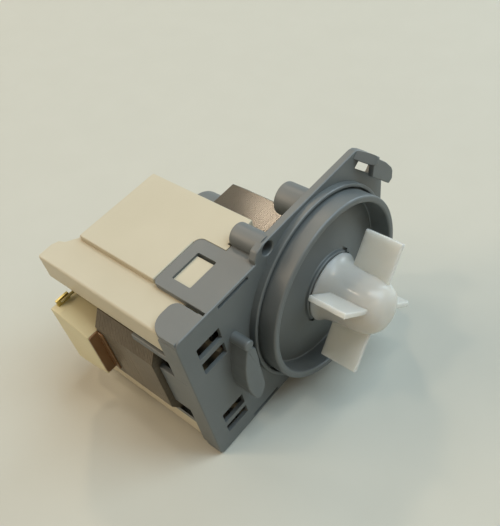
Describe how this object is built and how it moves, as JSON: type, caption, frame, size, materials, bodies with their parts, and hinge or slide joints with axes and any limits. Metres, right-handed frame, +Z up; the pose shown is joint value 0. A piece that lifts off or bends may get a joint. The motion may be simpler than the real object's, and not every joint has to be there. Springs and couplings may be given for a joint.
{
  "type": "washer drain pump",
  "caption": "Plug-in drain pump of a washing machine: plate with spigot ring and bayonet hooks, paddle impeller, and a magnet-rotor motor with covered coils behind.",
  "frame": {"origin": "on the shaft axis at the front face of the plate, where the spigot ring begins", "axes": "+X along the shaft towards the impeller's nose, +Y from the coils towards the rotor, +Z up, towards the ear with the screw hole"},
  "size_m": [0.0899, 0.0999, 0.0694],
  "materials": {
    "grey_plastic": "moulded, satin",
    "cap_plastic": "moulded, satin",
    "cover_plastic": "moulded, satin",
    "block_plastic": "moulded, satin",
    "former_plastic": "moulded",
    "core_steel": "stacked sheet, varnished",
    "copper": "enamelled wire",
    "brass": "stamped strip",
    "shaft_steel": "ground",
    "ferrite": "sintered",
    "bush": "sintered bronze, oiled",
    "black_rubber": "moulded",
    "sleeve_plastic": "moulded",
    "washer_plastic": "stamped",
    "impeller_plastic": "moulded, glossy",
    "cutout_case": "moulded"
  },
  "bodies": {
    "body": {"pump_body": "grey_plastic", "bearing_cap": "cap_plastic", "cap_seal": "black_rubber", "front_bearing_mount": "black_rubber", "front_bearing": "bush", "rear_bearing_mount": "black_rubber", "rear_bearing": "bush", "yoke_stack": "core_steel", "pole_upper": "core_steel", "pole_lower": "core_steel", "bobbin_upper": "former_plastic", "bobbin_lower": "former_plastic", "winding_upper": "copper", "winding_lower": "copper", "coil_link": "copper", "lead_upper": "copper", "lead_lower": "copper", "thermal_cutout": "cutout_case", "coil_cover": "cover_plastic", "terminal_block": "block_plastic", "terminal_upper": "brass", "terminal_lower": "brass"},
    "rotor": {"rotor_shaft": "shaft_steel", "rotor_sleeve": "sleeve_plastic", "rotor_magnet": "ferrite", "front_thrust_washer": "washer_plastic", "rear_thrust_washer": "washer_plastic", "drive_dog": "sleeve_plastic"},
    "wheel": {"impeller": "impeller_plastic", "hub_plate": "impeller_plastic", "coupling_damper": "black_rubber"}
  },
  "joints": [
    {"name": "rotor_spin", "type": "hinge", "parent": "body", "child": "rotor", "pos_m": [0, 0, 0], "axis": [1, 0, 0], "continuous": true},
    {"name": "impeller_slip", "type": "hinge", "parent": "rotor", "child": "wheel", "pos_m": [0, 0, 0], "axis": [1, 0, 0], "range_deg": [-126, 126]}
  ]
}
